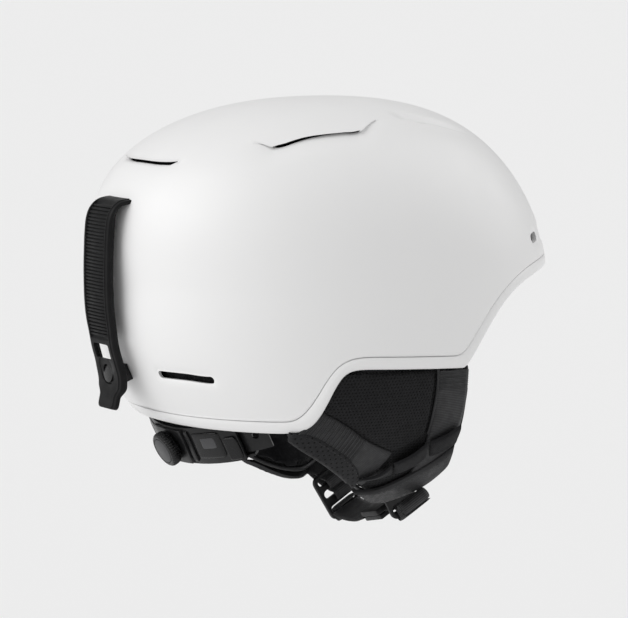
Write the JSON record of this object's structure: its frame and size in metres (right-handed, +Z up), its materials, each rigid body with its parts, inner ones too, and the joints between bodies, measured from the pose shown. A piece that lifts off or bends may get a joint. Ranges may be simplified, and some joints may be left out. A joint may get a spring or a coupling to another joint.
{
  "type": "ski helmet",
  "caption": "White snow-sports helmet with foam liner, soft ear pads, dial fit system, goggle strap clip and chin strap with snap buckle",
  "frame": {"origin": "middle of the head opening, on the plane where the head sits, 118 mm under the crown", "axes": "+X forward, +Y to the wearer's left, +Z up; the head leaves along -Z"},
  "size_m": [0.2896, 0.2264, 0.2635],
  "materials": {
    "shell_white": "satin white hard shell",
    "band_white": "satin white trim band",
    "foam_black": "moulded bead foam, black",
    "slip_grey": "thin smooth grey sheet",
    "anchor_dark": "soft dark elastomer",
    "pad_fabric": "brushed black knit over foam",
    "clip_rubber": "matte black moulded rubber",
    "clip_ribs": "black rubber with fine ribs",
    "fit_plastic": "black moulded nylon",
    "dial_plastic": "black knurled dial",
    "dial_face": "dark grey cap",
    "ear_mesh": "black perforated mesh fabric over foam",
    "ear_plush": "short black pile lining",
    "ear_trim": "charcoal synthetic leather band",
    "ear_stretch": "black elastic loop fabric",
    "webbing": "black ribbed polyester webbing",
    "buckle_plastic": "black moulded acetal",
    "steel": "bright steel"
  },
  "bodies": {
    "helmet": {"outer_shell": "shell_white", "rim_band": "band_white", "foam_liner": "foam_black", "slip_liner": "slip_grey", "slip_anchors": "anchor_dark", "crown_pad": "pad_fabric", "brow_pad": "pad_fabric", "side_pad_left": "pad_fabric", "side_pad_right": "pad_fabric", "clip_base": "clip_rubber", "clip_pin": "steel", "clip_stud": "buckle_plastic", "height_rail": "fit_plastic", "ear_pad_right": "ear_mesh", "ear_pad_left": "ear_mesh", "ear_lining_right": "ear_plush", "ear_lining_left": "ear_plush", "ear_band_right": "ear_trim", "ear_band_left": "ear_trim", "ear_loops_right": "ear_stretch", "ear_loops_left": "ear_stretch", "ear_studs_right": "buckle_plastic", "ear_studs_left": "buckle_plastic", "front_strap_right": "webbing", "front_strap_left": "webbing", "rear_strap_right": "webbing", "rear_strap_left": "webbing", "strap_rivets": "steel", "strap_divider_right": "buckle_plastic", "strap_divider_left": "buckle_plastic", "chin_strap_right": "webbing", "strap_tail": "webbing", "buckle_socket": "buckle_plastic", "socket_magnet": "steel"},
    "clip": {"clip_strap": "clip_rubber", "clip_grip": "clip_ribs"},
    "cradle": {"cradle_yoke": "fit_plastic", "dial_cover": "fit_plastic", "nape_pad": "pad_fabric"},
    "arm_right": {"arm_right": "fit_plastic"},
    "arm_left": {"arm_left": "fit_plastic"},
    "dial": {"dial_pinion": "dial_plastic", "dial_knob": "dial_plastic", "dial_cap": "dial_face"},
    "chin": {"chin_strap_left": "webbing", "buckle_tongue": "buckle_plastic", "tongue_magnet": "steel"}
  },
  "joints": [
    {"name": "clip_swing", "type": "hinge", "parent": "helmet", "child": "clip", "pos_m": [-0.147, 0, 0.054], "axis": [0, 1, 0], "range_deg": [0, 75]},
    {"name": "cradle_height", "type": "slide", "parent": "helmet", "child": "cradle", "axis": [0, 0, 1], "range_m": [-0.012, 0]},
    {"name": "dial_turn", "type": "hinge", "parent": "cradle", "child": "dial", "pos_m": [-0.094, 0, -0.079], "axis": [-0.8988, 0, -0.4384], "range_deg": [-90, 90]},
    {"name": "arm_right_slide", "type": "hinge", "parent": "cradle", "child": "arm_right", "pos_m": [-0.0167, 0, -0.0413], "axis": [-0.4384, 0, 0.8988], "range_deg": [-6.3, 6.3]},
    {"name": "arm_left_slide", "type": "hinge", "parent": "cradle", "child": "arm_left", "pos_m": [-0.0167, 0, -0.0413], "axis": [-0.4384, 0, 0.8988], "range_deg": [-6.3, 6.3]},
    {"name": "chin_strap_swing", "type": "hinge", "parent": "helmet", "child": "chin", "pos_m": [0.038, 0.0325, -0.1352], "axis": [0.866, 0, 0.5], "range_deg": [0, 75]}
  ],
  "couplings": [
    {"joint": "arm_right_slide", "follows": "dial_turn", "ratio": -0.06912},
    {"joint": "arm_left_slide", "follows": "dial_turn", "ratio": 0.06912}
  ]
}
